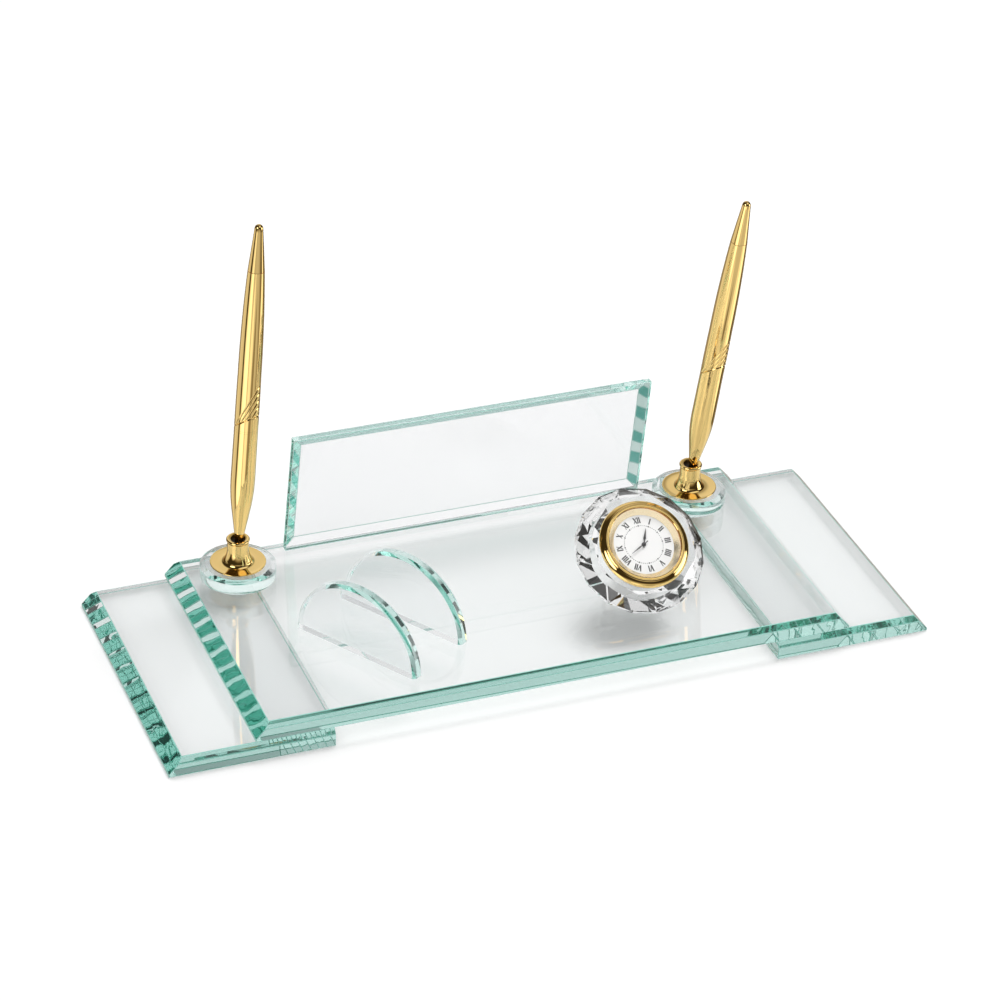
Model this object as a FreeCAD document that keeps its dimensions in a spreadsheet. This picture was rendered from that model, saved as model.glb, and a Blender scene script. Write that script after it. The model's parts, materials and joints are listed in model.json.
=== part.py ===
import FreeCAD, Part
import math
import os
import re
import Sketcher
from FreeCAD import Vector

# Desk set in bevelled glass: base plates, back panel, two card rests, two gold
# pens in sockets and a faceted crystal that holds a small clock. Millimetres, +Z up.
sizes = {
    # base plates
    "base_length": 305, "base_depth": 116, "plate_thickness": 7, "plate_gap": 178,
    "end_bevel": 5.4, "end_land": 1.1, "long_bevel": 2, "top_length": 238.4,
    "top_setback": 1.5, "bond_gap": 0.1,
    # back panel
    "panel_length": 148.5, "panel_shift": 1.5, "panel_height": 49.4, "panel_slant": 3.1,
    "panel_thickness": 5, "panel_bevel": 4, "panel_bevel_depth": 2, "panel_setback": 2.8,
    # card rests
    "rest_radius": 27.9, "rest_thickness": 5, "rest_bevel": 1.2, "rest_heading": -57,
    "rest_offset": -70, "rest_front": 34.45, "rest_pitch": 28.5,
    # pen stands
    "left_offset": -95.1, "left_setback": 17.5, "right_offset": 92.5, "right_setback": 20.2,
    "disc_radius": 14.7, "disc_height": 5.6,
    "disc_bevel": 2, "disc_bevel_height": 1, "flange_radius": 10.8, "flange_height": 0.5,
    "flange_round": 0.3, "bell_radius": 5.6, "collar_radius": 4.15, "collar_start": 6.2,
    "flare_radius": 11.6, "lip_start": 9.6, "lip_radius": 4.35, "lip_round": 0.25,
    "socket_height": 10.8, "lip_bore": 2.9, "socket_bore": 3.3,
    "liner_radius": 3.2, "nose_clearance": 0.2, "tip_passage": 0.9,
    # pens, measured from the nose
    "pen_depth": 8, "nose_radius": 1.15, "neck_radius": 1.65, "neck_height": 8,
    "cone_radius": 3.6, "cone_height": 20.5,
    "shoulder_height": 34, "shoulder_radius": 85, "barrel_radius": 4.65, "seam_radius": 4.55,
    "seam_height": 54.6, "ring_width": 0.8, "upper_height": 120.2, "upper_end_radius": 2.85,
    "upper_curve": 1088, "finial_length": 17.3, "finial_radius": 1.3, "finial_curve": 236,
    "tip_height": 1.2, "spigot_radius": 1.5, "spigot_length": 5, "cap_length": 25.2,
    "tip_bore": 0.6, "tip_bore_height": 13, "tube_bore": 1.5, "sleeve_start": 44,
    "sleeve_radius": 3.15, "sleeve_height": 69,
    "point_radius": 0.25, "point_start": 0.3, "point_height": 1.6, "tip_radius": 0.5,
    "tube_start": 16, "tube_radius": 1.4, "refill_room": 5,
    "left_lean": 5.15, "left_heading": 33.7, "left_lip_offset": 0.5, "left_lip_depth": 0.2,
    "right_lean": 10.3, "right_heading": -83.7, "right_lip_offset": 0.7, "right_lip_depth": -0.7,
    # crystal and clock insert; heights of the insert are from the cavity floor
    "clock_offset": 48.2, "clock_front": 44.1, "pavilion_angle": 37, "girdle_radius": 25.8,
    "girdle_half": 0.6, "crown_height": 6.3, "table_apothem": 19.6, "main_facets": 8,
    "cavity_radius": 16.5, "cavity_depth": 11, "fit_gap": 0.1,
    "knob_room": 2.4, "knob_radius": 2.2, "knob_clear": 0.8, "knob_height": 1.4,
    "stem_radius": 0.6, "stem_height": 4.5,
    "case_radius": 15, "case_wall": 0.8, "hatch_radius": 3.6, "hatch_offset": 7.5,
    "movement_radius": 14, "battery_radius": 3.4, "battery_height": 2.6,
    "gasket_radius": 16.4, "gasket_start": 4.5, "gasket_height": 4,
    "dial_thickness": 0.55, "dial_radius": 14.1, "dial_hole": 0.9,
    "ring_radius": 14.9, "ring_height": 1.45, "ring_inner": 12, "ring_top_inner": 14.2,
    "lens_thickness": 0.55, "bezel_bore": 15, "bezel_radius": 17.8, "bezel_edge": 0.5,
    "bezel_chamfer": 0.4, "bezel_inner": 14.3, "bezel_lip": 0.35, "bezel_crest": 3.2,
    "hand_thickness": 0.2, "hour_hand_rise": 0.35, "minute_hand_rise": 0.85,
    "hour_length": 6.6, "hour_width": 0.95, "hour_angle": 22, "hour_tail": 1.6,
    "minute_length": 7.1, "minute_width": 0.8, "minute_angle": 243, "minute_tail": 1.9,
    "arbor_radius": 0.35, "arbor_rise": 1.25, "arbor_depth": 1.6, "tube_inner": 0.42,
    "tube_outer": 0.75,
}
crown_half_share = 1.25     # steepness of the half facets over the main ones, on the crown
pavilion_half_share = 1.06  # and on the pavilion
hand_belly_share = 0.35     # how far along a hand is widest

doc = FreeCAD.newDocument("desk_set")
sheet = doc.addObject("Spreadsheet::Sheet", "sizes")
for row, (name, number) in enumerate(sizes.items(), 1):
    sheet.set("A%d" % row, name)
    sheet.set("B%d" % row, str(number))
    sheet.setAlias("B%d" % row, name)
doc.recompute()


def bound(text):
    """Expression text with every size name pointed at the sheet."""
    return re.sub(r"\b[a-z][a-z_]*\b(?!\()", r"sizes.\g<0>", text)


def value(text):
    return float(sheet.evalExpression(bound(text)))


def frame(across, back, up, *turns):
    """Placement text: a shift, then turns given as (axis letter, angle text)."""
    axes = {"x": "1; 0; 0", "y": "0; 1; 0", "z": "0; 0; 1"}
    shift = "vector(%s; %s; %s)" % (bound(across), bound(back), bound(up))
    text = "placement(%s; rotation(vector(0; 0; 1); 0))" % shift
    for axis, angle in turns:
        turn = "rotation(vector(%s); %s)" % (axes[axis], bound(angle))
        text += " * placement(vector(0; 0; 0); %s)" % turn
    return text


def draw(sketch, outline):
    """Closed outline; corners are (across, up) texts, with a radius text where an arc
    starts. An arc bulges to the right of the way round, or to the left after a minus."""
    corners = [Vector(value(corner[0]), value(corner[1]), 0) for corner in outline]
    count = len(corners)
    ends = []
    for i, corner in enumerate(outline):
        start, finish = corners[i], corners[(i + 1) % count]
        if len(corner) == 2:
            sketch.addGeometry(Part.LineSegment(start, finish), False)
            ends.append((1, 2))
            continue
        side = -1 if corner[2].startswith("-") else 1
        radius = value(corner[2].lstrip("-"))
        chord = finish - start
        right = Vector(chord.y, -chord.x, 0).normalize() * side
        rise = math.sqrt(max(radius ** 2 - (chord.Length / 2) ** 2, 0))
        crown = (start + finish) / 2 + right * (radius - rise)
        sketch.addGeometry(Part.Arc(start, crown, finish), False)
        first, last = sketch.getPoint(i, 1), sketch.getPoint(i, 2)
        near = first.distanceToPoint(start) < last.distanceToPoint(start)
        ends.append((1, 2) if near else (2, 1))
    for i in range(count):
        after = (i + 1) % count
        sketch.addConstraint(Sketcher.Constraint("Coincident", i, ends[i][1], after, ends[after][0]))
    for i, corner in enumerate(outline):
        for kind, text in zip(("DistanceX", "DistanceY"), corner):
            size = corners[i].x if kind == "DistanceX" else corners[i].y
            index = sketch.addConstraint(Sketcher.Constraint(kind, -1, 1, i, ends[i][0], size))
            if text != "0":
                sketch.setExpression("Constraints[%d]" % index, bound(text))
        if len(corner) == 3:
            radius = corner[2].lstrip("-")
            index = sketch.addConstraint(Sketcher.Constraint("Radius", i, value(radius)))
            sketch.setExpression("Constraints[%d]" % index, bound(radius))


def new_body(label, plane, outline):
    body = doc.addObject("PartDesign::Body", label)
    sketch = body.newObject("Sketcher::SketchObject", label + "_outline")
    support = [item for item in body.Origin.OriginFeatures if item.Role == plane][0]
    sketch.AttachmentSupport = [(support, "")]
    sketch.MapMode = "FlatFace"
    draw(sketch, outline)
    return body, sketch


def turned(label, outline, place, sweep=360):
    """Piece turned about its upright axis; the outline is (radius, height)."""
    body, sketch = new_body(label, "XZ_Plane", outline)
    spin = body.newObject("PartDesign::Revolution", label + "_turn")
    spin.Profile = sketch
    spin.ReferenceAxis = (sketch, ["V_Axis"])
    spin.Angle = sweep
    body.setExpression("Placement", place)
    return body


def padded(label, plane, outline, length, place):
    """Outline padded evenly to both sides of its plane."""
    body, sketch = new_body(label, plane, outline)
    pad = body.newObject("PartDesign::Pad", label + "_pad")
    pad.Profile = sketch
    pad.SideType = "Symmetric"
    pad.setExpression("Length", bound(length))
    body.setExpression("Placement", place)
    return body, pad


def chamfered(body, pad, chosen, size, second=None):
    """Chamfer of the pad's edges whose ends all pass the chosen test."""
    doc.recompute()
    names = []
    for number, edge in enumerate(pad.Shape.Edges, 1):
        if all(chosen(corner.Point) for corner in edge.Vertexes):
            names.append("Edge%d" % number)
    chamfer = body.newObject("PartDesign::Chamfer", body.Name + "_bevel")
    chamfer.Base = (pad, names)
    chamfer.setExpression("Size", bound(size))
    if second:
        chamfer.ChamferType = "Two distances"
        chamfer.setExpression("Size2", bound(second))
    return chamfer


def primitive(kind, label, place, **lengths):
    piece = doc.addObject("Part::" + kind, label)
    for name, text in lengths.items():
        piece.setExpression(name, bound(text))
    piece.setExpression("Placement", place)
    return piece


def cut(label, base, tools, place):
    piece = doc.addObject("Part::Cut", label)
    piece.Base = base
    piece.Tool = tools[0]
    if len(tools) > 1:
        joined = doc.addObject("Part::MultiFuse", label + "_tools")
        joined.Shapes = tools
        piece.Tool = joined
    piece.setExpression("Placement", place)
    return piece


nodes = []
still = frame("0", "0", "0")
top_face = "(plate_thickness * 2 + bond_gap)"
front_edge = "base_depth / 2"


def plate(label, left, right, bevel_left, bevel_right, depth, place):
    """Glass plate: steep bevels on the ends asked for, small ones on the long edges."""
    outline = [(left, "0"), (right, "0")]
    if bevel_right:
        outline += [(right, "end_land"), (right + " - end_bevel", "plate_thickness")]
    else:
        outline += [(right, "plate_thickness")]
    if bevel_left:
        outline += [(left + " + end_bevel", "plate_thickness"), (left, "end_land")]
    else:
        outline += [(left, "plate_thickness")]
    body, pad = padded(label, "XZ_Plane", outline, depth, place)
    top, edge = value("plate_thickness"), value(depth) / 2
    slack = value("bond_gap") / 10

    def on_long_edge(point):
        return abs(point.z - top) < slack and abs(abs(point.y) - edge) < slack

    chamfered(body, pad, on_long_edge, "long_bevel")
    nodes.append(body)


plate("left_base_plate", "-base_length / 2", "-plate_gap / 2", True, False, "base_depth", still)
plate("right_base_plate", "plate_gap / 2", "base_length / 2", False, True, "base_depth", still)
plate("top_plate", "-top_length / 2", "top_length / 2", True, True, "(base_depth - top_setback)",
      frame("0", "top_setback / 2", "plate_thickness + bond_gap"))

# back panel: a leaning outline, bevelled all round on its rear face
panel_place = frame("panel_shift", "base_depth / 2 - panel_setback - panel_thickness / 2",
                    top_face + " + bond_gap")
panel, panel_pad = padded(
    "back_panel", "XZ_Plane",
    [("-panel_length / 2", "0"), ("panel_length / 2", "0"),
     ("panel_length / 2 + panel_slant", "panel_height"),
     ("panel_slant - panel_length / 2", "panel_height")],
    "panel_thickness", panel_place)
panel_rear = value("panel_thickness") / 2
chamfered(panel, panel_pad, lambda p: abs(p.y - panel_rear) < value("bond_gap") / 10,
          "panel_bevel_depth", "panel_bevel")
nodes.append(panel)

# card rests: half-round plates on a slanting line
for label, step in (("card_rest_front", "0"), ("card_rest_rear", "rest_pitch")):
    reach = "(%s + rest_thickness)" % step
    place = frame("rest_offset - sin(rest_heading) * " + reach,
                  "rest_front + cos(rest_heading) * %s - %s" % (reach, front_edge),
                  top_face + " + bond_gap", ("z", "rest_heading"), ("x", "90"))
    outline = [("0", "0"), ("rest_radius - rest_bevel", "0"), ("rest_radius", "rest_bevel"),
               ("rest_radius", "rest_thickness - rest_bevel"),
               ("rest_radius - rest_bevel", "rest_thickness"), ("0", "rest_thickness")]
    nodes.append(turned(label, outline, place, 180))

# pen stands and pens
socket_foot = "(%s + disc_height + bond_gap * 2)" % top_face
lip_level = "(%s + socket_height)" % socket_foot
for side in ("left", "right"):
    stand_offset = side + "_offset"
    stand_back = "base_depth / 2 - %s_setback" % side
    nodes.append(turned(
        side + "_stand_disc",
        [("0", "0"), ("disc_radius", "0"), ("disc_radius", "disc_height - disc_bevel_height"),
         ("disc_radius - disc_bevel", "disc_height"), ("0", "disc_height")],
        frame(stand_offset, stand_back, top_face + " + bond_gap")))
    nodes.append(turned(
        side + "_socket",
        [("socket_bore", "0"), ("flange_radius", "0"),
         ("flange_radius", "flange_height - flange_round", "flange_round"),
         ("flange_radius - flange_round", "flange_height"),
         ("bell_radius", "flange_height", "-flare_radius"), ("collar_radius", "collar_start"),
         ("collar_radius", "lip_start"), ("lip_radius", "lip_start + lip_round"),
         ("lip_radius", "socket_height - lip_round", "lip_round"),
         ("lip_radius - lip_round", "socket_height"),
         ("lip_bore", "socket_height"), ("lip_bore", "lip_start"), ("socket_bore", "lip_start")],
        frame(stand_offset, stand_back, socket_foot)))

    lean, heading = side + "_lean", side + "_heading"
    slope = "pen_depth * tan(%s)" % lean
    pen_turns = (("z", heading), ("y", lean), ("z", "-" + heading))
    pen_across = "%s + %s_lip_offset - %s * cos(%s)" % (stand_offset, side, slope, heading)
    pen_back = "%s + %s_lip_depth - %s * sin(%s)" % (stand_back, side, slope, heading)
    pen_frame = frame(pen_across, pen_back, lip_level + " - pen_depth", *pen_turns)

    # the liner's bore is conical and leans with the pen; a passage below clears the tip
    plug = primitive("Cylinder", side + "_liner_plug",
                     frame(stand_offset, stand_back, socket_foot + " + bond_gap"),
                     Radius="liner_radius", Height="lip_start - bond_gap * 2")
    bore = primitive("Cone", side + "_liner_bore",
                     pen_frame + " * " + frame("0", "0", "-nose_clearance"),
                     Radius1="nose_radius + nose_clearance",
                     Radius2="neck_radius + nose_clearance", Height="neck_height")
    passage = primitive("Cylinder", side + "_liner_passage",
                        pen_frame + " * " + frame("0", "0", "-pen_depth"),
                        Radius="tip_passage", Height="pen_depth")
    nodes.append(cut(side + "_socket_liner", plug, [bore, passage], still))

    ring_top = "seam_height + ring_width"
    bore_top = "upper_height - cap_length"
    cap_floor = "upper_height - spigot_length - bond_gap"
    nodes.append(turned(
        side + "_lower_barrel",
        [("tip_bore", "0"), ("nose_radius", "0"), ("neck_radius", "neck_height"),
         ("cone_radius", "cone_height", "shoulder_radius"),
         ("barrel_radius", "shoulder_height"), ("seam_radius", "seam_height"),
         ("sleeve_radius + bond_gap", "seam_height"), ("sleeve_radius + bond_gap", "sleeve_start"),
         ("tube_bore", "sleeve_start"), ("tube_bore", "tip_bore_height"),
         ("tip_bore", "tip_bore_height")],
        pen_frame))
    nodes.append(turned(
        side + "_centre_ring",
        [("sleeve_radius + bond_gap", "seam_height + bond_gap"),
         ("seam_radius", "seam_height + bond_gap"),
         ("seam_radius", ring_top), ("sleeve_radius + bond_gap", ring_top)],
        pen_frame))
    nodes.append(turned(
        side + "_twist_sleeve",
        [("tube_bore", "sleeve_start + bond_gap"), ("sleeve_radius", "sleeve_start + bond_gap"),
         ("sleeve_radius", "sleeve_height"), ("tube_bore", "sleeve_height")],
        pen_frame))
    nodes.append(turned(
        side + "_upper_barrel",
        [("sleeve_radius + bond_gap", ring_top + " + bond_gap"),
         ("seam_radius", ring_top + " + bond_gap", "upper_curve"), ("upper_end_radius", "upper_height"),
         ("spigot_radius + bond_gap", "upper_height"),
         ("spigot_radius + bond_gap", cap_floor), ("0", cap_floor), ("0", bore_top),
         ("tube_bore", bore_top), ("tube_bore", "sleeve_height + bond_gap"),
         ("sleeve_radius + bond_gap", "sleeve_height + bond_gap")],
        pen_frame))
    tip_curve = "(finial_radius ^ 2 + tip_height ^ 2) / (tip_height * 2)"  # centred on the axis
    finial_shoulder = "upper_height + finial_length"
    nodes.append(turned(
        side + "_finial",
        [("0", "upper_height - spigot_length"), ("spigot_radius", "upper_height - spigot_length"),
         ("spigot_radius", "upper_height + bond_gap"),
         ("upper_end_radius", "upper_height + bond_gap", "finial_curve"),
         ("finial_radius", finial_shoulder, tip_curve), ("0", finial_shoulder + " + tip_height")],
        pen_frame))
    nodes.append(turned(
        side + "_refill",
        [("0", "point_start"), ("point_radius", "point_start"),
         ("tip_radius", "point_start + point_height"), ("tip_radius", "tube_start"),
         ("tube_radius", "tube_start"), ("tube_radius", bore_top + " - refill_room"),
         ("0", bore_top + " - refill_room")],
        pen_frame))

# crystal: two faceted blanks, half a step apart; it lies on one of its rear facets
girdle_rise = "girdle_radius * sin(pavilion_angle) + girdle_half * cos(pavilion_angle)"
crystal_up = "(%s + bond_gap + %s)" % (top_face, girdle_rise)
crystal_turn = ("x", "pavilion_angle")
crystal_place = frame("clock_offset", "clock_front - " + front_edge, crystal_up, crystal_turn)
insert_place = crystal_place + " * " + frame("0", "0", "crown_height - cavity_depth")


def ring_of(apothem, height, count, phase):
    """Corners of a regular polygon, one side square to -Y at phase 0."""
    radius = apothem / math.cos(math.pi / count)
    turns = [2 * math.pi * (i + 0.5 + phase) / count - math.pi / 2 for i in range(count)]
    return [Vector(radius * math.cos(turn), radius * math.sin(turn), height) for turn in turns]


def blank(label, count, girdle, crown_slope, pavilion_slope, phase):
    """Table, crown, girdle and pavilion planes round a shared axis."""
    half, crown = value("girdle_half"), value("crown_height")
    table = girdle - (crown - half) / crown_slope
    rings = [ring_of(table, crown, count, phase), ring_of(girdle, half, count, phase),
             ring_of(girdle, -half, count, phase)]
    culet = Vector(0, 0, -half - girdle * pavilion_slope)
    faces = [Part.Face(Part.makePolygon(rings[0] + rings[0][:1]))]
    for i in range(count):
        after = (i + 1) % count
        for upper, lower in zip(rings, rings[1:]):
            corners = [upper[i], upper[after], lower[after], lower[i], upper[i]]
            faces.append(Part.Face(Part.makePolygon(corners)))
        faces.append(Part.Face(Part.makePolygon([rings[2][i], rings[2][after], culet, rings[2][i]])))
    piece = doc.addObject("Part::Feature", label)
    piece.Shape = Part.Solid(Part.Shell(faces))
    return piece


girdle_radius = value("girdle_radius")
main_count = int(value("main_facets"))
half_count = main_count * 2
crown_slope = (value("crown_height") - value("girdle_half")) / (girdle_radius - value("table_apothem"))
pavilion_slope = math.tan(math.radians(value("pavilion_angle")))
main_blank = blank("crystal_main_facets", main_count, girdle_radius, crown_slope, pavilion_slope, 0)
half_blank = blank("crystal_half_facets", half_count, girdle_radius * math.cos(math.pi / half_count),
                   crown_slope * crown_half_share, pavilion_slope * pavilion_half_share, 0.5)
round_blank = primitive("Cylinder", "crystal_round", frame("0", "0", "-girdle_radius"),
                        Radius="girdle_radius", Height="girdle_radius * 2")
gem = doc.addObject("Part::MultiCommon", "crystal_gem")
gem.Shapes = [main_blank, half_blank, round_blank]
cavity = primitive("Cylinder", "crystal_cavity", frame("0", "0", "crown_height - cavity_depth"),
                   Radius="cavity_radius", Height="cavity_depth * 2")
nodes.append(cut("clock_crystal", gem, [cavity], crystal_place))

# clock insert, built upward from the cavity floor
case_floor = "knob_room + case_wall"
dial_back = "cavity_depth - dial_thickness"
ring_foot = "cavity_depth + fit_gap"
lens_foot = "cavity_depth + fit_gap * 2 + ring_height"
lens_face = lens_foot + " + lens_thickness"
lip_foot = lens_face + " + fit_gap"
cup = turned("clock_case_cup",
             [("0", "knob_room"), ("case_radius", "knob_room"), ("case_radius", "cavity_depth"),
              ("case_radius - case_wall", "cavity_depth"), ("case_radius - case_wall", case_floor),
              ("0", case_floor)],
             still)
stem_hole = primitive("Cylinder", "case_stem_hole", still,
                      Radius="stem_radius + fit_gap", Height="cavity_depth")
hatch_hole = primitive("Cylinder", "case_hatch_hole", frame("0", "hatch_offset", "0"),
                       Radius="hatch_radius + fit_gap", Height="cavity_depth")
nodes.append(cut("clock_case", cup, [stem_hole, hatch_hole], insert_place))
nodes.append(turned("battery_cover",
                    [("0", "knob_room"), ("hatch_radius", "knob_room"), ("hatch_radius", case_floor),
                     ("0", case_floor)],
                    insert_place + " * " + frame("0", "hatch_offset", "0")))
nodes.append(turned("clock_gasket",
                    [("case_radius + fit_gap", "gasket_start"), ("gasket_radius", "gasket_start"),
                     ("gasket_radius", "gasket_start + gasket_height"),
                     ("case_radius + fit_gap", "gasket_start + gasket_height")], insert_place))
works = primitive("Cylinder", "movement_block", frame("0", "0", case_floor + " + fit_gap"),
                  Radius="movement_radius",
                  Height="cavity_depth - dial_thickness - fit_gap * 2 - knob_room - case_wall")
works_stem = primitive("Cylinder", "movement_stem_hole", still,
                       Radius="stem_radius + fit_gap",
                       Height="knob_clear + knob_height + stem_height + fit_gap")
works_arbor = primitive("Cylinder", "movement_arbor_hole",
                        frame("0", "0", dial_back + " - arbor_depth - fit_gap"),
                        Radius="dial_hole", Height="cavity_depth")
works_pocket = primitive("Cylinder", "movement_battery_pocket", frame("0", "hatch_offset", "0"),
                         Radius="battery_radius + fit_gap",
                         Height=case_floor + " + battery_height + fit_gap * 3")
nodes.append(cut("clock_movement", works, [works_stem, works_arbor, works_pocket], insert_place))
nodes.append(turned("clock_battery",
                    [("0", case_floor + " + fit_gap"), ("battery_radius", case_floor + " + fit_gap"),
                     ("battery_radius", case_floor + " + fit_gap + battery_height"),
                     ("0", case_floor + " + fit_gap + battery_height")],
                    insert_place + " * " + frame("0", "hatch_offset", "0")))
nodes.append(turned("setting_knob",
                    [("0", "knob_clear"), ("knob_radius", "knob_clear"),
                     ("knob_radius", "knob_clear + knob_height"),
                     ("stem_radius", "knob_clear + knob_height"),
                     ("stem_radius", "knob_clear + knob_height + stem_height"),
                     ("0", "knob_clear + knob_height + stem_height")], insert_place))
nodes.append(turned("clock_dial",
                    [("dial_hole", dial_back), ("dial_radius", dial_back),
                     ("dial_radius", "cavity_depth"),
                     ("dial_hole", "cavity_depth")], insert_place))
nodes.append(turned("dial_ring",
                    [("ring_inner", ring_foot), ("ring_radius", ring_foot),
                     ("ring_radius", ring_foot + " + ring_height"),
                     ("ring_top_inner", ring_foot + " + ring_height")], insert_place))
nodes.append(turned("clock_lens",
                    [("0", lens_foot), ("ring_radius", lens_foot), ("ring_radius", lens_face),
                     ("0", lens_face)],
                    insert_place))
nodes.append(turned("clock_bezel",
                    [("bezel_bore", ring_foot), ("bezel_radius - bezel_chamfer", ring_foot),
                     ("bezel_radius", ring_foot + " + bezel_edge", "bezel_crest"),
                     ("bezel_inner", lip_foot + " + bezel_lip"), ("bezel_inner", lip_foot),
                     ("bezel_bore", lip_foot)], insert_place))


def hand(label, length, width, tail, angle, rise, bore, hub, foot, top):
    """Leaf-shaped hand with its arbor or tube, turned clockwise from the dial's top."""
    place = frame("0", "0", "cavity_depth + %s + hand_thickness / 2" % rise, ("z", "-" + angle))
    belly = "%s * %s" % (length, hand_belly_share)
    leaf, _ = padded(label + "_leaf", "XY_Plane",
                     [("0", "-" + tail), (width + " / 2", "0"), (width + " / 2", belly), ("0", length),
                      ("-%s / 2" % width, belly), ("-%s / 2" % width, "0")], "hand_thickness", place)
    inner = bore if bore else "0"
    post = turned(label + "_post", [(inner, foot), (hub, foot), (hub, top), (inner, top)], still)
    joined = doc.addObject("Part::MultiFuse", label + "_blank" if bore else label)
    joined.Shapes = [leaf, post]
    if bore:
        hole = primitive("Cylinder", label + "_hole", still, Radius=bore, Height="cavity_depth * 2")
        nodes.append(cut(label, joined, [hole], insert_place))
    else:
        joined.setExpression("Placement", insert_place)
        nodes.append(joined)


hand("hour_hand", "hour_length", "hour_width", "hour_tail", "hour_angle", "hour_hand_rise",
     "tube_inner", "tube_outer", dial_back + " - arbor_depth / 2",
     "cavity_depth + hour_hand_rise + hand_thickness")
hand("minute_hand", "minute_length", "minute_width", "minute_tail", "minute_angle",
     "minute_hand_rise", None, "arbor_radius", dial_back + " - arbor_depth",
     "cavity_depth + arbor_rise")

doc.recompute()
for item in doc.Objects:
    if "Invalid" in item.State or "Error" in item.State:
        raise RuntimeError("%s is %s" % (item.Label, item.State))
for node in nodes:
    if node.Shape.isNull() or not node.Shape.isValid() or len(node.Shape.Solids) != 1:
        raise RuntimeError("%s has no single valid solid" % node.Label)
os.makedirs("parts", exist_ok=True)
for node in nodes:
    node.Shape.exportStep("parts/%s.step" % node.Label)
print("wrote", len(nodes), "pieces")
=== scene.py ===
import json
import math

import bmesh
import bpy
import numpy as np
from mathutils import Matrix, Vector


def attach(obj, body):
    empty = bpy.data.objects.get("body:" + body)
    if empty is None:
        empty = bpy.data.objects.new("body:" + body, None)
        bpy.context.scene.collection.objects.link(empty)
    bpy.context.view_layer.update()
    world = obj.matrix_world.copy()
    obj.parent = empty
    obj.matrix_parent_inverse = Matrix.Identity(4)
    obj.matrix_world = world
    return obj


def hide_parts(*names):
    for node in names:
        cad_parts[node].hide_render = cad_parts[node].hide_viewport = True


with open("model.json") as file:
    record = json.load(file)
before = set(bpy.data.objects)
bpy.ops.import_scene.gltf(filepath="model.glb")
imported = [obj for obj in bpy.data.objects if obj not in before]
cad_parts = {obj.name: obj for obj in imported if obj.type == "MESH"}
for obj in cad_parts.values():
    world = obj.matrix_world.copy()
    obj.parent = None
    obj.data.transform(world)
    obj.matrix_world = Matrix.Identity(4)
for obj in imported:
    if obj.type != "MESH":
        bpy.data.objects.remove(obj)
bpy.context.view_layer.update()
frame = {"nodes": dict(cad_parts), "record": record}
mm = 0.001
print("frame loaded")

scene = bpy.context.scene
base = {"halfLength": 152.5, "halfDepth": 58.0, "lowerInner": 89.0, "topHalfLength": 119.2, "topSetback": 1.5}
plate = {"thick": 7.0, "endBevel": 5.4, "endLand": 1.1, "longBevel": 2.0, "arris": 0.2}
bondGap = 0.1
topFace = 2 * plate["thick"] + bondGap  # upper face of the glass base
seat = topFace + bondGap  # foot of what stands on it
halfDepth = base["halfDepth"]
weldDistance = {"merge": 1e-7, "flat": 1e-8}
outsideFrom = 2.0  # a ripple cuts only radii beyond this


def turnX(deg):
    return Matrix.Rotation(math.radians(deg), 4, "X")


def turnY(deg):
    return Matrix.Rotation(math.radians(deg), 4, "Y")


def turnZ(deg):
    return Matrix.Rotation(math.radians(deg), 4, "Z")


def shift(x, y, z):
    return Matrix.Translation((x, y, z))


def weld(mesh):
    bm = bmesh.new()
    bm.from_mesh(mesh)
    bmesh.ops.remove_doubles(bm, verts=bm.verts, dist=weldDistance["merge"])
    bmesh.ops.dissolve_degenerate(bm, dist=weldDistance["flat"], edges=bm.edges)
    bmesh.ops.recalc_face_normals(bm, faces=bm.faces)
    bm.to_mesh(mesh)
    bm.free()


def makeMesh(name, verts, faces, place, material, body, replaced=(),
             sharp=30, smooth=True, closed=True):
    # verts are millimetres in the piece's own axes, set in the shared frame by place
    pts = np.c_[np.asarray(verts, float), np.ones(len(verts))] @ np.array(place).T
    mesh = bpy.data.meshes.new(name)
    mesh.from_pydata((pts[:, :3] * mm).tolist(), [], faces)
    if closed:
        weld(mesh)
    if smooth:
        mesh.polygons.foreach_set("use_smooth", np.ones(len(mesh.polygons), bool))
        mesh.set_sharp_from_angle(angle=math.radians(sharp))
    mesh.update()
    obj = bpy.data.objects.new(name, mesh)
    scene.collection.objects.link(obj)
    mesh.materials.append(material)
    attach(obj, body)
    if replaced:
        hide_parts(*replaced)
    return obj


def gridFaces(rows, cols, closed):
    # quads (i, j) of a rows x cols grid, joined round in j when closed
    last = cols if closed else cols - 1
    i, j = np.meshgrid(np.arange(rows - 1), np.arange(last), indexing="ij")
    k = (j + 1) % cols
    quads = np.stack([i * cols + j, i * cols + k, (i + 1) * cols + k, (i + 1) * cols + j], -1)
    return quads.reshape(-1, 4).tolist()


def lathe(name, profile, place, material, body, replaced=(),
          segs=96, sharp=30, ripple=None, closed=True):
    # P(t, a) = (r(t) cos a, r(t) sin a, z(t)), with ripple(z, a) taken off r on the outside
    prof = np.asarray(profile, float)
    if closed:
        prof = np.vstack([prof, prof[:1]])
    a = np.linspace(0, 2 * math.pi, segs, endpoint=False)
    r = np.repeat(prof[:, :1], segs, 1)
    z = np.repeat(prof[:, 1:], segs, 1)
    if ripple is not None:
        r = r - ripple(z, a[None, :]) * (r > outsideFrom)
    verts = np.stack([r * np.cos(a), r * np.sin(a), z], -1).reshape(-1, 3)
    faces = gridFaces(len(prof), segs, True)
    return makeMesh(name, verts, faces, place, material, body, replaced, sharp)


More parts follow.
